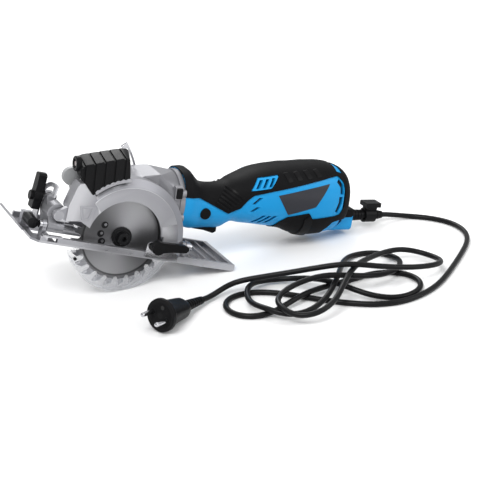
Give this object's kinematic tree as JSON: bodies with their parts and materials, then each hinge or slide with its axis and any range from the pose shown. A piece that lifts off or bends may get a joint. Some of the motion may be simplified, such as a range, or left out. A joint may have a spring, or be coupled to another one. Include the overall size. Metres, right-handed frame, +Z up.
{
  "type": "compact circular saw",
  "caption": "Inline-grip mini circular saw with laser guide, tilting base, swinging clear blade guard and a mains cord with a two-pin plug, resting on the floor.",
  "frame": {"origin": "centre of the saw's footprint on the floor, cord and plug left out", "axes": "+X towards the cord end, +Y away from the blade side, +Z up"},
  "size_m": [0.5391, 0.2487, 0.1606],
  "materials": {
    "cast_guard": "satin",
    "gear_metal": "satin",
    "case_metal": "satin",
    "body_blue": "satin",
    "soft_grip": "matte",
    "black_plastic": "matte",
    "grey_plastic": "matte",
    "steel": "satin",
    "bright_steel": "polished",
    "dark_steel": "satin",
    "blade_steel": "satin",
    "tip_steel": "satin",
    "clear_guard": "gloss",
    "base_metal": "satin",
    "copper": "satin",
    "brass": "satin",
    "carbon": "matte",
    "lens_red": "gloss",
    "cord_black": "matte"
  },
  "bodies": {
    "head": {"upper_guard": "cast_guard", "bearing_plate": "case_metal", "gear_case": "gear_metal", "gear_cover": "gear_metal", "case_screws": "steel", "housing_near": "body_blue", "housing_far": "body_blue", "grip_near": "soft_grip", "grip_far": "soft_grip", "under_grip": "soft_grip", "end_cap": "black_plastic", "cord_chin": "body_blue", "motor_brackets": "grey_plastic", "stator": "dark_steel", "field_coils": "copper", "motor_bearings": "steel", "gear_bearings": "steel", "brush_holders": "brass", "brushes": "carbon", "switch_body": "black_plastic", "idler_pin": "steel", "laser_housing": "black_plastic", "laser_lens": "lens_red", "dust_port": "grey_plastic", "cord_boot": "cord_black", "hex_key_holder": "black_plastic", "pivot_pin": "steel", "cord": "cord_black", "cord_plug": "cord_black"},
    "armature": {"armature_shaft": "steel", "armature_core": "dark_steel", "commutator": "copper", "fan": "black_plastic"},
    "countershaft": {"counter_shaft": "steel", "crown_wheel": "steel", "counter_gear": "steel"},
    "idler": {"idler_gear": "steel"},
    "blade": {"saw_blade": "blade_steel", "blade_tips": "tip_steel", "inner_flange": "steel", "outer_flange": "dark_steel", "arbor_bolt": "dark_steel", "spindle": "steel"},
    "lower_guard": {"lower_guard": "clear_guard", "guard_pin": "black_plastic"},
    "carrier": {"front_carrier": "base_metal", "rear_bracket": "steel", "depth_quadrant": "bright_steel"},
    "base": {"base_plate": "base_metal", "bevel_quadrant": "base_metal", "bevel_screws": "bright_steel", "side_bracket": "bright_steel"},
    "bevel_lever": {"bevel_lever": "black_plastic"},
    "depth_knob": {"depth_knob": "black_plastic"},
    "side_lever": {"side_lever": "black_plastic"},
    "fence_knob": {"fence_knob": "dark_steel"},
    "trigger": {"trigger": "black_plastic"},
    "lock_button": {"lock_button": "black_plastic"},
    "spindle_lock": {"spindle_lock": "black_plastic"},
    "laser_switch": {"laser_switch": "black_plastic"}
  },
  "joints": [
    {"name": "armature_spin", "type": "hinge", "parent": "head", "child": "armature", "pos_m": [0.08457, 0.01025, 0.06023], "axis": [0.9852, 0, -0.1713], "continuous": true},
    {"name": "counter_spin", "type": "hinge", "parent": "head", "child": "countershaft", "pos_m": [-0.09489, 0.01025, 0.09144], "axis": [0, 1, 0], "continuous": true},
    {"name": "idler_spin", "type": "hinge", "parent": "head", "child": "idler", "pos_m": [-0.10659, 0.00125, 0.07622], "axis": [0, 1, 0], "continuous": true},
    {"name": "blade_spin", "type": "hinge", "parent": "head", "child": "blade", "pos_m": [-0.1183, -0.01975, 0.061], "axis": [0, 1, 0], "continuous": true},
    {"name": "lower_guard_swing", "type": "hinge", "parent": "head", "child": "lower_guard", "pos_m": [-0.1183, -0.01975, 0.061], "axis": [0, -1, 0], "range_deg": [0, 130], "stiffness_Nm_per_rad": 0.02, "springref_deg": -143.24},
    {"name": "depth_tilt", "type": "hinge", "parent": "head", "child": "carrier", "pos_m": [-0.18784, -0.01075, 0.10101], "axis": [0, 1, 0], "range_deg": [0, 31]},
    {"name": "bevel_tilt", "type": "hinge", "parent": "carrier", "child": "base", "pos_m": [-0.11796, -0.02275, 0.06194], "axis": [-0.9405, 0, 0.3398], "range_deg": [0, 45]},
    {"name": "bevel_lever_turn", "type": "hinge", "parent": "carrier", "child": "bevel_lever", "pos_m": [-0.19908, 0.00789, 0.11406], "axis": [0.9405, 0, -0.3398], "range_deg": [0, 60]},
    {"name": "depth_knob_turn", "type": "hinge", "parent": "head", "child": "depth_knob", "pos_m": [-0.08166, 0.04025, 0.0787], "axis": [0, 1, 0], "range_deg": [0, 60]},
    {"name": "side_lever_turn", "type": "hinge", "parent": "base", "child": "side_lever", "pos_m": [-0.08474, -0.04175, 0.04941], "axis": [0, -1, 0], "range_deg": [0, 30]},
    {"name": "fence_knob_turn", "type": "hinge", "parent": "base", "child": "fence_knob", "pos_m": [-0.21269, -0.00775, 0.09404], "axis": [0, 1, 0], "continuous": true},
    {"name": "trigger_pull", "type": "hinge", "parent": "head", "child": "trigger", "pos_m": [-0.01935, 0.01025, 0.04633], "axis": [0, -1, 0], "range_deg": [0, 8], "stiffness_Nm_per_rad": 1, "springref_deg": -11.46},
    {"name": "lock_button_slide", "type": "slide", "parent": "head", "child": "lock_button", "axis": [0, 1, 0], "range_m": [-0.002, 0.002], "stiffness_N_per_m": 500},
    {"name": "spindle_lock_press", "type": "slide", "parent": "head", "child": "spindle_lock", "axis": [0, 1, 0], "range_m": [0, 0.004], "stiffness_N_per_m": 400, "springref_m": -0.003},
    {"name": "laser_switch_slide", "type": "slide", "parent": "head", "child": "laser_switch", "axis": [0.9852, 0, -0.1713], "range_m": [0, 0.0065]}
  ],
  "couplings": [
    {"joint": "counter_spin", "follows": "armature_spin", "ratio": -0.25},
    {"joint": "idler_spin", "follows": "armature_spin", "ratio": 0.25},
    {"joint": "blade_spin", "follows": "armature_spin", "ratio": -0.25}
  ]
}
